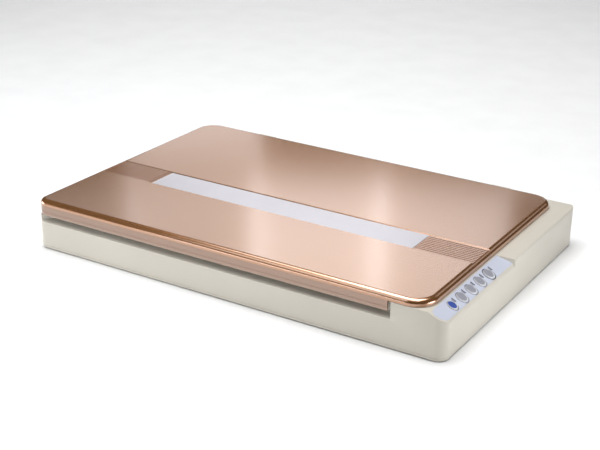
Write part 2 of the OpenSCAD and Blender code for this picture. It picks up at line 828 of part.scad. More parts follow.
module sensor_housing() {
  x = home_x;
  color([0.10, 0.10, 0.11]) difference() {
    block(x - 9, x + 9, sensor_y0, sensor_y1, sensor_z0, sensor_z1);
    block(x - 7.5, x + 7.5, sensor_y0 + 3, sensor_y1 - 3, sensor_z1 - 1, sensor_z1 + 1);
    block(x - 1.5, x + 1.5, sensor_y0 + 5, sensor_y1 - 5, sensor_z0 + 1, sensor_z1);
    block(x - 7, x - 4, sensor_y0 + 5, sensor_y1 - 5, sensor_z0 + 4, sensor_z1);
    block(x - 7.5, x + 7.5, sensor_y0 + 3, sensor_y1 - 3, sensor_z0 - 1, sensor_z0 + 1.6);
  }
}

module lens_array() {
  color([0.35, 0.36, 0.40]) block(home_x - 1.5, home_x + 1.5, sensor_y0 + 5, sensor_y1 - 5, sensor_z0 + 3, sensor_z0 + 11);
}

module light_bar() {
  color([0.90, 0.95, 0.90]) block(home_x - 7, home_x - 4, sensor_y0 + 5, sensor_y1 - 5, sensor_z0 + 4, sensor_z0 + 11.5);
}

module sensor_board() {
  color(board_colour) block(home_x - 7.4, home_x + 7.4, sensor_y0 + 3.2, sensor_y1 - 3.2, sensor_z0, sensor_z0 + 1.6);
}

module sensor_window() {
  color([0.8, 0.85, 0.9, 0.4])
    block(home_x - 7.4, home_x + 7.4, sensor_y0 + 3.2, sensor_y1 - 3.2, sensor_z1 - 1, sensor_z1);
}

module glide_pads() {
  color(white_colour) for (dx = [-6, 6], y = [sensor_y0 + 1.4, sensor_y1 - 1.4])
    block(home_x + dx - 3, home_x + dx + 3, y - 1.4, y + 1.4, sensor_z1, glass_z - gap);
}

module sensor_springs() {
  color(steel_colour) for (y = [-120, 110]) translate([home_x, y, tray_z + 3.6])
    coil_spring(4, 0.5, sensor_z0 - tray_z - 4.2, 4);
}

module rod_bushes() {
  color(brass_colour) for (x = [home_x - 14, home_x + 6]) difference() {
    rod_x(7, x, x + 8, rod_y, rod_z);
    rod_x(rod_r + run_fit, x - 1, x + 9, rod_y, rod_z);
  }
}

module belt_clamp() {
  run_y = belt_y - belt_inner_r - belt_t / 2;
  color(dark_colour) difference() {
    block(home_x - 10, home_x + 10, run_y - 4.5, run_y + 4.5, belt_z - 2, tray_z);
    block(home_x - 12, home_x + 12, run_y - belt_t / 2 - gap, run_y + belt_t / 2 + gap,
          belt_z - gap, belt_z + belt_h + gap);
  }
}

// ---- drive gears ----

function involute(base_r, roll) = [
  base_r * (cos(roll) + roll * PI / 180 * sin(roll)),
  base_r * (sin(roll) - roll * PI / 180 * cos(roll))
];

function turned(p, a) = [p[0] * cos(a) - p[1] * sin(a), p[0] * sin(a) + p[1] * cos(a)];

// Involute gear with a tooth centred on +X; slack is the gap left between meshing flanks
module gear_outline(teeth, slack) {
  pressure = 20;
  pitch_r = gear_module * teeth / 2;
  base_r = pitch_r * cos(pressure);
  tip_r = pitch_r + 0.9 * gear_module;
  root_r = pitch_r - 1.3 * gear_module;
  roll_tip = sqrt(pow(tip_r / base_r, 2) - 1) * 180 / PI;
  roll_low = root_r > base_r ? sqrt(pow(root_r / base_r, 2) - 1) * 180 / PI : 0;
  lean = tan(pressure) * 180 / PI - pressure;
  half_tooth = 90 / teeth + lean - slack / 4 / pitch_r * 180 / PI;
  steps = 4;
  flank = [for (k = [0:steps]) turned(involute(base_r, roll_low + (roll_tip - roll_low) * k / steps), -half_tooth)];
  foot = turned([root_r, 0], -half_tooth);
  tooth = concat([foot], flank, [for (k = [steps:-1:0]) [flank[k][0], -flank[k][1]]], [[foot[0], -foot[1]]]);
  polygon([for (i = [0:teeth - 1]) each [for (p = tooth) turned(p, 360 * i / teeth)]]);
}

module motor_shaft() {
  color(steel_colour) rod_z(1.5, motor_x, motor_y, 8, 39);
}

module motor_pinion() {
  // A gap faces the drive gear
  half_pitch = 180 / pinion_teeth;
  color(brass_colour) difference() {
    translate([motor_x, motor_y, 8.6]) rotate([0, 0, motor_angle + 180 + half_pitch])
      linear_extrude(5) gear_outline(pinion_teeth, 0.12);
    rod_z(1.5, motor_x, motor_y, 0, 30);
  }
}

module drive_gear() {
  color(white_colour) difference() {
    union() {
      translate([gear_x, belt_y, 9]) rotate([0, 0, motor_angle]) linear_extrude(4) gear_outline(gear_teeth, 0.12);
      rod_z(5, gear_x, belt_y, 9, 19);
      pulley_body(gear_x);
    }
    rod_z(2 + run_fit, gear_x, belt_y, 0, 40);
  }
}

module pulley_body(x) {
  rod_z(8, x, belt_y, 18.2, 19.2);
  rod_z(pulley_r, x, belt_y, 19, 26.6);
  rod_z(8, x, belt_y, 26.4, 27);
}

module idler_pulley() {
  color(white_colour) difference() {
    pulley_body(idler_x);
    rod_z(2 + run_fit, idler_x, belt_y, 0, 40);
  }
}

// ---- buttons and lock ----

module push_button(i) {
  s = button_size(i);
  at_button(i) {
    translate([0, 0, -3.8]) linear_extrude(4.8) oval(button_long * s, button_wide * s);
    rod_z(2.2, 0, 0, -4.2, -3);
  }
}

module start_button() { color([0.25, 0.35, 0.65]) push_button(0); }
module scan_button() { color([0.68, 0.68, 0.72]) push_button(1); }
module copy_button() { color([0.68, 0.68, 0.72]) push_button(2); }
module mail_button() { color([0.68, 0.68, 0.72]) push_button(3); }
module file_button() { color([0.68, 0.68, 0.72]) push_button(4); }

module lock_slider() {
  x = home_x;
  color(dark_colour) {
    block(x - 7, x + 7, -186, -172, 2, 3.1);
    block(x - 1.8, x + 1.8, -178, -173, 2, 30.4);
    block(x - 1.8, x + 1.8, -178, -169, tray_z + 0.5, 30.4);
  }
}

bottom_case();
upper_case();
platen_glass();
calibration_strip();
ruler_strips();
panel_label();
guide_rod();
rod_clips();
slide_rails();
motor_bracket();
stepper_motor();
gear_pin();
idler_bracket();
idler_pin();
tension_spring();
drive_belt();
main_board();
board_parts();
board_screws();
usb_socket();
power_jack();
flat_cable();
cable_clip();
button_board();
tact_switches();
rubber_feet();
case_screws();
left_hinge_post();
right_hinge_post();
hinge_pins();
lid_cover();
lid_inner_panel();
document_mat();
inlay_strip();
left_hinge_arm();
right_hinge_arm();
lid_screws();
lid_bumpers();
carriage_frame();
sensor_housing();
lens_array();
light_bar();
sensor_board();
sensor_window();
glide_pads();
sensor_springs();
rod_bushes();
belt_clamp();
motor_shaft();
motor_pinion();
drive_gear();
idler_pulley();
scan_button();
copy_button();
mail_button();
file_button();
start_button();
lock_slider();
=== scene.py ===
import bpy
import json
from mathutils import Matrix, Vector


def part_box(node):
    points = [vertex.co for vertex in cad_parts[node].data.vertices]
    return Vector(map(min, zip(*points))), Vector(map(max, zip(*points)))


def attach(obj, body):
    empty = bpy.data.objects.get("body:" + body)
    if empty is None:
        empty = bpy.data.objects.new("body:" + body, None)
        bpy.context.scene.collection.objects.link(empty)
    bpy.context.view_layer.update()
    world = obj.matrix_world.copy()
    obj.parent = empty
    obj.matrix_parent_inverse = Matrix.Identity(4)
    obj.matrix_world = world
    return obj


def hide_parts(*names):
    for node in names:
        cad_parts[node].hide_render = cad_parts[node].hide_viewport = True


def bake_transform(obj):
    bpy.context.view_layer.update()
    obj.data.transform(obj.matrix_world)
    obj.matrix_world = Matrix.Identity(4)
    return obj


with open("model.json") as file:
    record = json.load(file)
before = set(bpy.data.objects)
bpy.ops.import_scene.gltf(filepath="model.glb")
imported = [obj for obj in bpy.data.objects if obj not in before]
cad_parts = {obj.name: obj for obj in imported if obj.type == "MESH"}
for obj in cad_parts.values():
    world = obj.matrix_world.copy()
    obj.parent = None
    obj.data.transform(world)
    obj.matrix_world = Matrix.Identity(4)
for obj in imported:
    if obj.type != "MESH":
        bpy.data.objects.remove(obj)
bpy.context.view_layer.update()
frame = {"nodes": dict(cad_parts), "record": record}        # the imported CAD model: bodies, nodes, joints and record

import json
import math

import bmesh
import bpy
from mathutils import Matrix, Vector

MM = 0.001
NODES = frame["nodes"]
PANEL_SLOPE = math.radians(24)


# ---- camera, floor and lights ----

def make_camera():
    """A long lens at the front right, looking down on the lid."""
    azimuth, pitch, roll = math.radians(29.66), math.radians(22.76), math.radians(1.62)
    level_reach = math.cos(pitch)
    back = Vector((math.sin(azimuth) * level_reach, -math.cos(azimuth) * level_reach, math.sin(pitch)))
    level = Vector((math.cos(azimuth), math.sin(azimuth), 0))
    upright = (-back).cross(level) * -1
    right = math.cos(roll) * level + math.sin(roll) * upright
    up = -math.sin(roll) * level + math.cos(roll) * upright
    data = bpy.data.cameras.new("camera")
    data.sensor_width = 36
    data.lens = 75.73
    data.shift_x = -0.0507
    data.shift_y = 0.0009
    camera = bpy.data.objects.new("camera", data)
    place = Vector((0.7893, -1.3321, 0.6776))
    camera.matrix_world = Matrix((
        (right.x, up.x, back.x, place.x),
        (right.y, up.y, back.y, place.y),
        (right.z, up.z, back.z, place.z),
        (0, 0, 0, 1),
    ))
    bpy.context.scene.collection.objects.link(camera)
    bpy.context.scene.camera = camera


def add_light(name, place, target, size, power, colour):
    """A soft rectangular light that faces the target."""
    data = bpy.data.lights.new(name, "AREA")
    data.shape = "RECTANGLE"
    data.size, data.size_y = size
    data.energy = power
    data.color = colour
    light = bpy.data.objects.new(name, data)
    light.location = place
    light.rotation_euler = (Vector(target) - Vector(place)).to_track_quat("-Z", "Y").to_euler()
    bpy.context.scene.collection.objects.link(light)


def make_stage():
    """A wide pale floor and a soft room."""
    data = bpy.data.meshes.new("floor")
    reach = 12
    corners = [(-reach, -reach, 0), (reach, -reach, 0), (reach, reach, 0), (-reach, reach, 0)]
    data.from_pydata(corners, [], [(0, 1, 2, 3)])
    floor = bpy.data.objects.new("floor", data)
    bpy.context.scene.collection.objects.link(floor)
    data.materials.append(plain("floor_white", (0.93, 0.93, 0.93), 0.9, grain=(40, 0.02)))
    world = bpy.data.worlds.new("room")
    bpy.context.scene.world = world
    world.use_nodes = True
    world.node_tree.nodes["Background"].inputs["Color"].default_value = (1, 1, 1, 1)
    world.node_tree.nodes["Background"].inputs["Strength"].default_value = 0.02
    bpy.context.scene.view_settings.view_transform = "Standard"


# Soft panels the lid reflects: name, bearing left of the rear, height angle, size and power
REFLECTED = (
    ("back_a", 50, 26, (0.45, 0.5), 0.4),
    ("back_b_low", 40, 13, (0.45, 0.5), 0.8),
    ("back_b", 40, 26, (0.45, 0.5), 0.75),
    ("back_c", 30, 26, (0.45, 0.5), 1.3),
    ("back_d", 20, 26, (0.45, 0.5), 1.1),
    ("back_e_low", 10, 13, (0.45, 0.5), 0.6),
    ("back_right", -25, 27, (0.6, 0.6), 0.8),
    ("back_high", 27, 43, (0.5, 0.6), 1.6),
)
WHITE, COOL = (1, 1, 1), (0.93, 0.97, 1.0)
# Other soft panels: name, place, target, size, power and colour
WALL_LIGHTS = (
    ("front_near", (-0.35, -0.95, 0.12), (-0.2, -0.2, 0.03), (0.5, 0.16), 1.4, COOL),
    ("left_low", (-1.5, -0.75, 0.13), (-0.2, -0.2, 0.03), (0.9, 0.22), 8, COOL),
    ("right_near", (0.75, -0.1, 0.1), (0.29, -0.12, 0.03), (0.3, 0.12), 1.2, COOL),
    ("edge_gleam", (-0.4, 0.0, 1.2), (0.2, -0.2, 0.07), (0.4, 0.6), 2.6, COOL),
    ("front_gleam", (-0.2, -0.65, 0.6), (0.15, -0.2, 0.06), (0.5, 0.35), 1.0, COOL),
    ("above", (0, -0.1, 2.6), (0, -0.1, 0), (2.2, 2.2), 76, WHITE),
)


def make_lights():
    """Panels on an arc behind the lid, which its gloss reflects, and those for the walls and the floor."""
    lid_top = 0.068
    lid_centre = (0, -0.01, lid_top)
    reach = 2.5
    for name, bearing, height, size, power in REFLECTED:
        a, e = math.radians(bearing), math.radians(height)
        level = reach * math.cos(e)
        place = (-level * math.sin(a), level * math.cos(a), lid_top + reach * math.sin(e))
        add_light(name, place, lid_centre, size, power, WHITE)
    for name, place, target, size, power, colour in WALL_LIGHTS:
        add_light(name, place, target, size, power, colour)


# ---- materials ----

def shader(name):
    """A new node material; returns it with its tree and its Principled shader."""
    material = bpy.data.materials.new(name)
    material.use_nodes = True
    tree = material.node_tree
    return material, tree, tree.nodes["Principled BSDF"]


def noise(tree, scale, detail=4, stretch=(1, 1, 1)):
    """Noise in the object's own metres; scale is features per metre."""
    place = tree.nodes.new("ShaderNodeTexCoord")
    mapping = tree.nodes.new("ShaderNodeMapping")
    mapping.inputs["Scale"].default_value = stretch
    texture = tree.nodes.new("ShaderNodeTexNoise")
    texture.inputs["Scale"].default_value = scale
    texture.inputs["Detail"].default_value = detail
    tree.links.new(place.outputs["Object"], mapping.inputs["Vector"])
    tree.links.new(mapping.outputs["Vector"], texture.inputs["Vector"])
    return texture.outputs["Fac"]


def spread(tree, source, low, high):
    """Maps the middle of a noise to the range low..high."""
    node = tree.nodes.new("ShaderNodeMapRange")
    node.inputs["From Min"].default_value = 0.3
    node.inputs["From Max"].default_value = 0.7
    node.inputs["To Min"].default_value = low
    node.inputs["To Max"].default_value = high
    tree.links.new(source, node.inputs["Value"])
    return node.outputs["Result"]


def tint(tree, principled, source, colour, amount):
    """Lets the base colour wander by a share of itself."""
    mix = tree.nodes.new("ShaderNodeMix")
    mix.data_type = "RGBA"
    mix.inputs["A"].default_value = (*[c * (1 - amount) for c in colour], 1)
    mix.inputs["B"].default_value = (*[min(1, c * (1 + amount)) for c in colour], 1)
    tree.links.new(spread(tree, source, 0, 1), mix.inputs["Factor"])
    tree.links.new(mix.outputs["Result"], principled.inputs["Base Color"])


def bump(tree, principled, source, strength, distance=0.0002):
    node = tree.nodes.new("ShaderNodeBump")
    node.inputs["Strength"].default_value = strength
    node.inputs["Distance"].default_value = distance
    tree.links.new(source, node.inputs["Height"])
    tree.links.new(node.outputs["Normal"], principled.inputs["Normal"])


def plain(name, colour, rough, metallic=0.0, grain=(900, 0.1), wander=0.02, coat=0.0, stretch=(1, 1, 1)):
    """A moulded, painted or machined surface: grain is the bump's features per metre and its strength."""
    material, tree, principled = shader(name)
    principled.inputs["Metallic"].default_value = metallic
    principled.inputs["IOR"].default_value = 1.5
    principled.inputs["Coat Weight"].default_value = coat
    principled.inputs["Coat Roughness"].default_value = 0.08
    fine = noise(tree, grain[0], 5, stretch)
    broad = noise(tree, 14, 3)
    tint(tree, principled, broad, colour, wander)
    tree.links.new(spread(tree, fine, rough * 0.9, min(1, rough * 1.1)), principled.inputs["Roughness"])
    bump(tree, principled, fine, grain[1])
    return material


def glass_material(name, colour):
    """Clear polished glass with a faint smudge."""
    material, tree, principled = shader(name)
    principled.inputs["Transmission Weight"].default_value = 1
    principled.inputs["IOR"].default_value = 1.5
    principled.inputs["Roughness"].default_value = 0
    smudge = noise(tree, 9, 3)
    tint(tree, principled, smudge, colour, 0.015)
    return material


def board_material():
    """Green solder mask over fine copper traces."""
    material, tree, principled = shader("circuit_board")
    place = tree.nodes.new("ShaderNodeTexCoord")
    bricks = tree.nodes.new("ShaderNodeTexBrick")
    bricks.inputs["Scale"].default_value = 260
    bricks.inputs["Mortar Size"].default_value = 0.05
    bricks.inputs["Color1"].default_value = (0.02, 0.13, 0.06, 1)
    bricks.inputs["Color2"].default_value = (0.03, 0.17, 0.08, 1)
    bricks.inputs["Mortar"].default_value = (0.08, 0.32, 0.14, 1)
    tree.links.new(place.outputs["Object"], bricks.inputs["Vector"])
    tree.links.new(bricks.outputs["Color"], principled.inputs["Base Color"])
    tree.links.new(spread(tree, noise(tree, 500), 0.25, 0.4), principled.inputs["Roughness"])
    return material


def lacquer(name, colour):
    """Metallic flake paint under a clear gloss coat."""
    material, tree, principled = shader(name)
    principled.inputs["Metallic"].default_value = 0.75
    principled.inputs["IOR"].default_value = 1.5
    principled.inputs["Coat Weight"].default_value = 1.0
    principled.inputs["Coat Roughness"].default_value = 0.15
    principled.inputs["Coat IOR"].default_value = 2.3
    flakes = noise(tree, 2600, 2)
    tint(tree, principled, flakes, colour, 0.06)
    tree.links.new(spread(tree, flakes, 0.24, 0.30), principled.inputs["Roughness"])
    bump(tree, principled, flakes, 0.04, 0.0001)
    return material


def make_materials():
    """One finish for each material slot of the record, and two more: the lid's lacquer made darker for the lip as
    painted shade, and a pale rim plastic that is partly a painted highlight.
    """
    inlay = {"metallic": 0.9, "grain": (60, 0.04), "stretch": (1, 60, 60)}
    rod = {"metallic": 1, "grain": (300, 0.03), "stretch": (0.02, 1, 1)}
    film = {"grain": (70, 0.3), "stretch": (0.01, 14, 0.01), "coat": 0.4}
    paint = {"metallic": 0.35, "grain": (2500, 0.03), "coat": 0.5}
    return {
        "case": plain("case_plastic", (0.60, 0.555, 0.48), 0.4, grain=(1400, 0.12)),
        "lid_paint": lacquer("champagne_lacquer", (0.43, 0.18, 0.06)),
        # the lip is the lid's own lacquer made darker: painted shade for the dark floor the lip reflects
        "lip_painted_shade": lacquer("champagne_lacquer_painted_shade", (0.24, 0.11, 0.045)),
        "inlay": plain("brushed_inlay", (0.74, 0.72, 0.77), 0.35, **inlay),
        "platen": glass_material("platen_glass", (0.93, 0.97, 0.96)),
        # a silver bezel coloured paler than the button paint so its broad low side shows a bright crescent: partly
        # painted highlight
        "rim_plastic": plain("rim_plastic_painted_highlight", (0.62, 0.62, 0.66), 0.3),
        "white_plastic": plain("white_plastic", (0.86, 0.86, 0.85), 0.45),
        "foam": plain("white_foam", (0.88, 0.88, 0.87), 0.8, grain=(2500, 0.5), wander=0.03),
        "label": plain("label_film", (0.51, 0.53, 0.62), 0.45, grain=(900, 0.01)),
        "dark_plastic": plain("black_plastic", (0.025, 0.025, 0.028), 0.45, grain=(1200, 0.2)),
        "rubber": plain("black_rubber", (0.02, 0.02, 0.02), 0.8, grain=(1800, 0.4)),
        "steel": plain("zinc_steel", (0.60, 0.61, 0.63), 0.35, metallic=1, grain=(700, 0.1), wander=0.06),
        "rod_steel": plain("ground_steel", (0.75, 0.76, 0.78), 0.12, **rod),
        "brass": plain("sintered_brass", (0.70, 0.50, 0.22), 0.4, metallic=1, grain=(2500, 0.3)),
        "board": board_material(),
        "cable": plain("flat_cable_film", (0.70, 0.71, 0.76), 0.3, **film),
        "lens": plain("rod_lens_glass", (0.20, 0.22, 0.26), 0.12, grain=(900, 0.4), stretch=(1, 1, 0.1)),
        "light": plain("light_guide", (0.88, 0.92, 0.86), 0.15, grain=(300, 0.1)),
        "silver_button": plain("silver_button_paint", (0.40, 0.40, 0.45), 0.35, **paint),
        "blue_button": plain("blue_button_paint", (0.05, 0.09, 0.33), 0.25, grain=(2500, 0.03), coat=0.6),
    }


# ---- mesh helpers ----

def bare_object(name, build):
    """A bmesh as an object, not yet a finished piece."""
    data = bpy.data.meshes.new(name)
    bmesh.ops.recalc_face_normals(build, faces=build.faces)
    build.to_mesh(data)
    build.free()
    piece = bpy.data.objects.new(name, data)
    bpy.context.scene.collection.objects.link(piece)
    return piece


def new_object(name, build, slot, body, smooth_angle=35):
    """Makes a piece from a bmesh, gives it its finish and puts it on its CAD body."""
    piece = bare_object(name, build)
    finish_piece(piece, slot, body, smooth_angle)
    return piece


def finish_piece(piece, slot, body, smooth_angle=35):
    piece.data.materials.clear()
    piece.data.materials.append(MATERIALS[slot])
    shade(piece, smooth_angle)
    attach(piece, body)


def shade(piece, angle):
    """Smooth faces, with edges sharper than the angle kept crisp."""
    piece.data.shade_smooth()
    build = bmesh.new()
    build.from_mesh(piece.data)
    limit = math.radians(angle)
    for edge in build.edges:
        edge.smooth = len(edge.link_faces) == 2 and edge.calc_face_angle(0) < limit
    build.to_mesh(piece.data)
    build.free()


# Pieces whose flat faces run around an opening: merged into one face they would close it,
# so they keep the CAD's own triangles
KEEP_FACETS = ("upper_case", "left_hinge_post", "right_hinge_post", "power_jack")


def softened(name, node, slot, body, width):
    """The CAD node's own shape with every hard edge slightly rounded."""
    build = bmesh.new()
    build.from_mesh(NODES[node].data)
    bmesh.ops.remove_doubles(build, verts=build.verts, dist=0.004 * MM)
    if node not in KEEP_FACETS:
        bmesh.ops.dissolve_limit(build, angle_limit=math.radians(0.5), verts=build.verts, edges=build.edges)
    piece = new_object(name, build, slot, body)
    bevel = piece.modifiers.new("soft_edges", "BEVEL")
    bevel.width = width * MM
    bevel.segments = 2
    bevel.limit_method = "ANGLE"
    bevel.angle_limit = math.radians(28)
    bevel.miter_outer = "MITER_ARC"
    bevel.use_clamp_overlap = node in KEEP_FACETS
    bevel.harden_normals = True
    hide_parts(node)


def outline(x0, x1, y0, y1, radii, steps):
    """Points around a rectangle with its own radius at each corner, and each point's inward direction.
    Corners run front left, front right, rear right, rear left."""
    corners = ((x0, y0, 1, 1, 180), (x1, y0, -1, 1, 270), (x1, y1, -1, -1, 0), (x0, y1, 1, -1, 90))
    points = []
    for (x, y, sx, sy, start), r in zip(corners, radii):
        for k in range(steps + 1):
            a = math.radians(start + 90 * k / steps)
            out = Vector((math.cos(a), math.sin(a)))
            points.append((Vector((x + sx * r, y + sy * r)) + out * r, -out))
    return points


def bridge_rings(build, rings, closed=True):
    """Joins rings of vertices, each as long as the next, with quads."""
    for low, high in zip(rings, rings[1:]):
        count = len(low)
        for i in range(count if closed else count - 1):
            j = (i + 1) % count
            build.faces.new((low[i], low[j], high[j], high[i]))


# ---- lid ----

LID_X0, LID_X1, LID_Y0, LID_Y1 = -293.5, 271.5, -203.0, 183.0
LID_TOP, LID_EDGE = 68.0, 59.4
LID_RADII = (14, 28, 28, 28)
EDGE_RADIUS, EDGE_RUN = 7.0, 6.8
SKIN = 2.5
CHANNEL_FRONT, CHANNEL_REAR, CHANNEL_DEPTH = -75.0, -27.0, 1.0
INLAY_X0, INLAY_X1 = -205.0, 187.0
RIBS = 10
GAP_EXTRA = 0.4
STEP_DOWN = 0.35
INLAY_GAP_LEFT, INLAY_GAP_RIGHT = 4.5, 1.5
OVERLAP = 0.1          # how far a cutter runs past the face of the cut before it
GROOVE_WIDTH = 0.7
SLANT = 0.8
NOTCH_HALF, NOTCH_ROOF = 15.2, 2.6
HINGE_X = 190.0
LIP_BOTTOM, LIP_END_X, LIP_SIDE_Y = 46.2, 222.0, -175.0


def edge_profile(steps=18):
    """(inset, height) pairs up the lid's outer face and over its rounding, in mm."""
    profile = [(0.45, LID_EDGE), (0.12, LID_EDGE + 0.12), (0.0, LID_EDGE + 0.45)]
    first = math.acos(EDGE_RUN / EDGE_RADIUS)
    for k in range(steps + 1):
        a = first + (math.pi / 2 - first) * k / steps
        inset = EDGE_RUN - EDGE_RADIUS * math.cos(a)
        profile.append((inset, LID_TOP - EDGE_RADIUS + EDGE_RADIUS * math.sin(a)))
    return profile


def ring_at(build, plan, inset, z):
    """A ring of vertices along the plan, moved in by inset, at that height."""
    return [build.verts.new(((p.x + n.x * inset) * MM, (p.y + n.y * inset) * MM, z * MM)) for p, n in plan]


def carve(piece, cutter):
    """Takes the cutter's volume out of the piece."""
    cut = piece.modifiers.new("cut", "BOOLEAN")
    cut.operation = "DIFFERENCE"
    cut.solver = "EXACT"
    cut.object = cutter
    shaped = bpy.data.meshes.new_from_object(piece.evaluated_get(bpy.context.evaluated_depsgraph_get()))
    piece.modifiers.clear()
    piece.data = shaped
    bpy.data.objects.remove(cutter)


def blocks(name, boxes):
    """One mesh of separate boxes, each (x0, x1, y0, y1, z0, z1) in mm."""
    build = bmesh.new()
    for x0, x1, y0, y1, z0, z1 in boxes:
        made = bmesh.ops.create_cube(build, size=1)
        move = Matrix.Translation(Vector((x0 + x1, y0 + y1, z0 + z1)) / 2 * MM)
        size = Matrix.Diagonal(((x1 - x0) * MM, (y1 - y0) * MM, (z1 - z0) * MM, 1))
        bmesh.ops.transform(build, matrix=move @ size, verts=made["verts"])
    return bare_object(name, build)


def rib_rows():
    """Front and rear edge of each gap between the ribs of the channel's ends."""
    pitch = (CHANNEL_REAR - CHANNEL_FRONT) / RIBS
    edges = [CHANNEL_FRONT]
    for i in range(RIBS):
        edges += [CHANNEL_FRONT + (i + 0.2) * pitch, CHANNEL_FRONT + (i + 0.8) * pitch]
    edges.append(CHANNEL_REAR)
    return list(zip(edges[0::2], edges[1::2]))


def make_lid():
    """The painted cover: rounded edge, sunk channel with ribbed ends, hollow underside and hinge notches."""
    plan = outline(LID_X0, LID_X1, LID_Y0, LID_Y1, LID_RADII, 24)
    build = bmesh.new()
    rings = [ring_at(build, plan, inset, z) for inset, z in edge_profile()]
    bridge_rings(build, rings)
    build.faces.new(rings[-1])
    build.faces.new(rings[0][::-1])
    cover = bare_object("lid_shell", build)

    build = bmesh.new()
    rings = [ring_at(build, plan, inset, z) for inset, z in ((SKIN, LID_EDGE - 1), (SKIN, LID_TOP - SKIN))]
    bridge_rings(build, rings)
    build.faces.new(rings[-1])
    build.faces.new(rings[0][::-1])
    carve(cover, bare_object("cavity", build))

    floor = LID_TOP - CHANNEL_DEPTH
    above = LID_TOP + 1
    whole = (LID_X0 - 1, LID_X1 + 1)
    shallow = (*whole, CHANNEL_FRONT, CHANNEL_REAR, LID_TOP - STEP_DOWN, above)
    bed = (INLAY_X0 - INLAY_GAP_LEFT, INLAY_X1 + INLAY_GAP_RIGHT, CHANNEL_FRONT, CHANNEL_REAR, floor, above)
    carve(cover, blocks("channel", [shallow]))
    carve(cover, blocks("channel_floor", [bed]))
    gap_floor = floor - GAP_EXTRA
    left = (LID_X0 - 1, INLAY_X0 - INLAY_GAP_LEFT + OVERLAP)
    right = (INLAY_X1 + INLAY_GAP_RIGHT - OVERLAP, LID_X1 + 1)
    gaps = [(*ends, y0, y1, gap_floor, above) for ends in (left, right) for y0, y1 in rib_rows()]
    carve(cover, blocks("rib_gaps", gaps))
    groove = (*whole, CHANNEL_FRONT - OVERLAP, CHANNEL_FRONT + GROOVE_WIDTH, gap_floor - OVERLAP, above)
    carve(cover, blocks("front_groove", [groove]))
    slant = blocks("slant", [(*whole, -SLANT, SLANT, -SLANT, SLANT)])
    quarter = Matrix.Rotation(math.radians(45), 4, "X")
    slant.matrix_world = Matrix.Translation((0, CHANNEL_REAR * MM, LID_TOP * MM)) @ quarter
    carve(cover, slant)
    notches = []
    for x in (-HINGE_X, HINGE_X):
        across = (x - NOTCH_HALF, x + NOTCH_HALF)
        notches.append((*across, LID_Y1 - 5, LID_Y1 + 1, LID_EDGE - 1, LID_TOP - NOTCH_ROOF))
    carve(cover, blocks("notches", notches))

    finish_piece(cover, "lid_paint", "lid", 30)
    level = cover.modifiers.new("level_faces", "WEIGHTED_NORMAL")
    level.keep_sharp = True
    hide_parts("lid_cover")


# Section of the front lip: depth in from the lid's outer face, and height
LIP_SECTION = (
    (0.0, LID_EDGE + 0.5),
    (0.0, LIP_BOTTOM + 6.1),
    (0.12, LIP_BOTTOM + 5.85),
    (0.5, LIP_BOTTOM + 5.75),
    (0.55, LIP_BOTTOM + 5.35),
    (0.25, LIP_BOTTOM + 5.15),
    (0.2, LIP_BOTTOM + 4.9),
    (0.75, LIP_BOTTOM + 1.0),
    (1.0, LIP_BOTTOM + 0.35),
    (1.4, LIP_BOTTOM + 0.05),
    (1.7, LIP_BOTTOM),
    (2.2, LIP_BOTTOM),
    (2.42, LIP_BOTTOM + 0.1),
    (2.5, LIP_BOTTOM + 0.35),
    (2.5, LID_EDGE + 0.5),
)


def make_lip():
    """The lip in front of the case, round the left corner: a band, a groove and a leaning lower band."""
    radius = LID_RADII[0]
    straight_steps, turn_steps = 30, 28
    path = []
    for k in range(straight_steps):
        x = LIP_END_X + (LID_X0 + radius - LIP_END_X) * k / straight_steps
        path.append((Vector((x, LID_Y0)), Vector((0, 1))))
    for k in range(turn_steps + 1):
        a = math.radians(270 - 90 * k / turn_steps)
        out = Vector((math.cos(a), math.sin(a)))
        path.append((Vector((LID_X0 + radius, LID_Y0 + radius)) + out * radius, -out))
    path.append((Vector((LID_X0, LIP_SIDE_Y)), Vector((1, 0))))
    build = bmesh.new()
    rings = []
    for point, inward in path:
        ring = []
        for depth, z in LIP_SECTION:
            spot = point + inward * depth
            ring.append(build.verts.new((spot.x * MM, spot.y * MM, z * MM)))
        rings.append(ring)
    bridge_rings(build, rings)
    build.faces.new(rings[0][::-1])
    build.faces.new(rings[-1])
    # the lip takes the darker copy of the lid's lacquer: painted shade, not a different paint
    new_object("lid_front_lip", build, "lip_painted_shade", "lid", 24)


# ---- CAD nodes and their rounded copies ----

SLOT_OF = {part["node"]: part["material_slot"] for part in frame["record"]["subparts"]}
BODY_OF = {name: body for body, names in frame["record"]["behaviour"]["bodies"].items() for name in names}

# Edge rounding, in mm, of the moulded, cut and pressed pieces
SOFT_EDGES = {
    "upper_case": 0.15,
    "platen_glass": 0.3,
    "bottom_case": 0.45,
    "lid_inner_panel": 0.25,
    "inlay_strip": 0.12,
    "left_hinge_post": 0.4,
    "right_hinge_post": 0.4,
    "left_hinge_arm": 0.35,
    "right_hinge_arm": 0.35,
    "rubber_feet": 0.35,
    "lid_bumpers": 0.3,
    "usb_socket": 0.25,
    "power_jack": 0.25,
    "lock_slider": 0.2,
    "carriage_frame": 0.3,
    "sensor_housing": 0.3,
    "stepper_motor": 0.4,
    "motor_bracket": 0.2,
    "idler_bracket": 0.2,
    "board_parts": 0.15,
    "rod_clips": 0.3,
    "belt_clamp": 0.2,
    "case_screws": 0.15,
    "lid_screws": 0.15,
    "button_board": 0.08,
    "main_board": 0.1,
    "cable_clip": 0.1,
    "slide_rails": 0.15,
    "idler_pulley": 0.1,
    "glide_pads": 0.15,
}


def colour_nodes():
    """Every CAD node takes its slot's material."""
    for name, node in NODES.items():
        node.data.materials.clear()
        node.data.materials.append(MATERIALS[SLOT_OF[name]])


def soften_nodes():
    """Swaps the listed nodes for copies with soft edges."""
    for name, width in SOFT_EDGES.items():
        softened("soft_" + name, name, SLOT_OF[name], BODY_OF[name], width)


# ---- buttons and their label ----

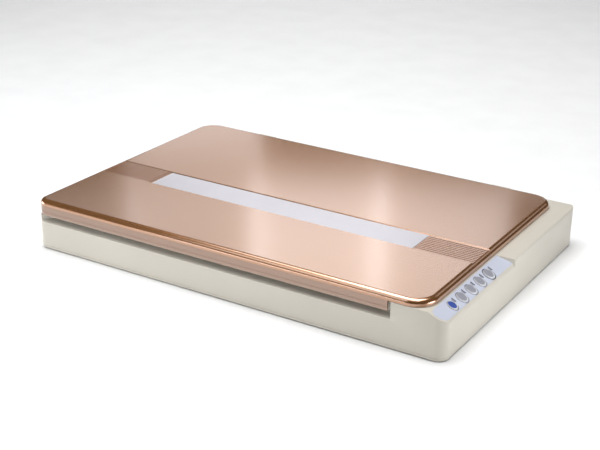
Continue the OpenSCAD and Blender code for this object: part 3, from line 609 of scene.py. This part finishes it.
BUTTONS = {"start_button": 0.84, "scan_button": 1, "copy_button": 1, "mail_button": 1, "file_button": 1}
BUTTON_LONG, BUTTON_WIDE = 16.2, 15.4
RIM_WIDTH, RIM_LEAN = 1.25, 0.85
# Sections from the oval's edge inwards: how far in, and how high above the panel
RIM_SECTION = (
    (0.0, -3.8), (0.0, 0.0), (0.1, 0.25), (0.7, 1.3), (0.85, 1.42),
    (1.05, 1.4), (1.2, 1.15), (1.25, 0.8), (1.25, -3.8),
)
CAP_SECTION = ((1.25, 0.5), (1.31, 0.84), (1.55, 0.94), (3.2, 0.98), (4.6, 1.0))
# Sections of the black line laid on the label around a button as painted shadow of the gap round it: a fine one, and
# the broad one of the last button
FINE_SHADOW_LINE = ((-0.42, 0.1), (-0.42, 0.34), (-0.5, 0.38), (-0.66, 0.38), (-0.74, 0.34), (-0.74, 0.1))
BROAD_SHADOW_LINE = ((-0.42, 0.1), (-0.42, 0.4), (-0.52, 0.5), (-1.05, 0.5), (-1.15, 0.4), (-1.15, 0.1))


def on_panel(name):
    """A matrix that puts panel millimetres, with Z square to the slope, at a button's place."""
    low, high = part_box(name)
    middle = (low + high) / 2
    turn = Matrix.Rotation(PANEL_SLOPE, 4, "Y")
    normal = turn @ Vector((0, 0, 1))
    # the cap's box runs from 3.8 mm below the panel to 1.0 mm above it, so its middle is 1.4 mm down
    place = middle + normal * 1.4 * MM
    return Matrix.Translation(place) @ turn @ Matrix.Scale(MM, 4)


def oval(inset, scale, steps=64):
    """Points of a button's oval, moved in by inset; the rim is broader on its low side."""
    radius = (BUTTON_WIDE / 2 - inset) * scale
    straight = (BUTTON_LONG - BUTTON_WIDE) / 2 * scale
    lean = RIM_LEAN * scale * max(0, min(inset, RIM_WIDTH))
    points = []
    for k in range(steps):
        a = 2 * math.pi * (k + 0.5) / steps
        x = math.copysign(straight, math.cos(a)) + radius * math.cos(a) - lean
        points.append((x, radius * math.sin(a)))
    return points


def oval_rings(build, name, section):
    """The button's oval at each step of a section, as rings of vertices on the panel."""
    place = on_panel(name)
    rings = []
    for inset, z in section:
        rings.append([build.verts.new(place @ Vector((x, y, z))) for x, y in oval(inset, BUTTONS[name])])
    return rings


def make_cap(name):
    """The slightly domed middle of a button, inside its bright rim."""
    build = bmesh.new()
    rings = oval_rings(build, name, CAP_SECTION)
    bridge_rings(build, rings)
    build.faces.new(rings[0][::-1])
    build.faces.new(rings[-1])
    piece = new_object("cap_" + name, build, SLOT_OF[name], BODY_OF[name], 50)
    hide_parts(name)


def make_ring(name, part, section, slot, body):
    """A ring with that section around a button's oval."""
    build = bmesh.new()
    rings = oval_rings(build, name, section)
    bridge_rings(build, rings + rings[:1])
    new_object(part + "_" + name, build, slot, body, 50)


def make_marks(name):
    """Two short printed bars behind a button, in place of its caption."""
    build = bmesh.new()
    place = on_panel(name)
    scale = BUTTONS[name]
    behind = BUTTON_WIDE / 2 * scale
    bars = ((-4.4, behind + 4.2, 6.8, 1.5), (-4.2, behind + 2.0, 5.0, 0.8))
    for x, y, long, wide in bars:
        box = bmesh.ops.create_cube(build, size=1)
        move = place @ Matrix.Translation((x, y, 0.3)) @ Matrix.Diagonal((long, wide, 0.16, 1))
        bmesh.ops.transform(build, matrix=move, verts=box["verts"])
    new_object("marks_" + name, build, "dark_plastic", "base")


def make_panel():
    """Each button with its painted shadow line, cap, rim and marks."""
    for name in BUTTONS:
        # a black ring on the label: painted shadow of the gap round the button, broader for the last one
        line = BROAD_SHADOW_LINE if name == "file_button" else FINE_SHADOW_LINE
        make_ring(name, "line", line, "dark_plastic", "base")
        make_cap(name)
        # the rim's pale plastic is partly a painted highlight: the bright crescent on the button's low side
        make_ring(name, "rim", RIM_SECTION, "rim_plastic", BODY_OF[name])
        make_marks(name)


# ---- ribbon cable ----

def ribbon(name, path, body=None):
    """A flat cable of 24 ribs' width swept along a path of (x, z) in mm."""
    low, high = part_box("flat_cable")
    y0, y1 = low.y / MM, high.y / MM
    ribs = 24
    half, thin = 0.18, 0.72          # half the thickness in mm, and its share between two conductors
    build = bmesh.new()
    rings = []
    for k, (x, z) in enumerate(path):
        before = Vector(path[max(0, k - 1)])
        after = Vector(path[min(len(path) - 1, k + 1)])
        along = (after - before).normalized()
        normal = Vector((-along.y, along.x))
        ring = []
        for side in (1, -1):
            span = range(2 * ribs + 1) if side > 0 else range(2 * ribs, -1, -1)
            for i in span:
                y = y0 + (y1 - y0) * i / (2 * ribs)
                thick = half * (1.0 if i % 2 else thin)
                out = thick * side
                ring.append(build.verts.new(((x + normal.x * out) * MM, y * MM, (z + normal.y * out) * MM)))
        rings.append(ring)
    bridge_rings(build, rings)
    build.faces.new(rings[0][::-1])
    build.faces.new(rings[-1])
    piece = bare_object(name, build)
    piece.data.materials.append(MATERIALS["cable"])
    shade(piece, 50)
    if body:
        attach(piece, body)
    return piece


def make_cable():
    """The ribbon lies on the floor of the case, folds back over itself and rises to the carriage."""
    fold_x, low_z, high_z = -10.0, 6.2, 11.8
    board_x, rise_x, rise_run, rise_height = 234, 193, 20, 16
    radius = (high_z - low_z) / 2
    floor_run = [(fold_x + (board_x - fold_x) * (1 - k / 24), low_z) for k in range(25)]
    fold = []
    for k in range(1, 17):
        a = math.radians(-90 - 180 * k / 16)
        fold.append((fold_x + radius * math.cos(a), low_z + radius + radius * math.sin(a)))
    lower = ribbon("ribbon_floor_run", floor_run + fold, "base")
    upper_run = [(fold_x + (rise_x - fold_x) * k / 40, high_z) for k in range(41)]
    rise = []
    for k in range(1, 13):
        t = k / 12
        rise.append((rise_x + rise_run * t, high_z + rise_height * (3 * t * t - 2 * t ** 3)))
    upper = ribbon("ribbon_moving_run", upper_run + rise)
    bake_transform(upper)
    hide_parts("flat_cable")


make_camera()
MATERIALS = make_materials()
make_stage()
make_lights()
colour_nodes()
soften_nodes()
make_lid()
make_lip()
make_panel()
make_cable()
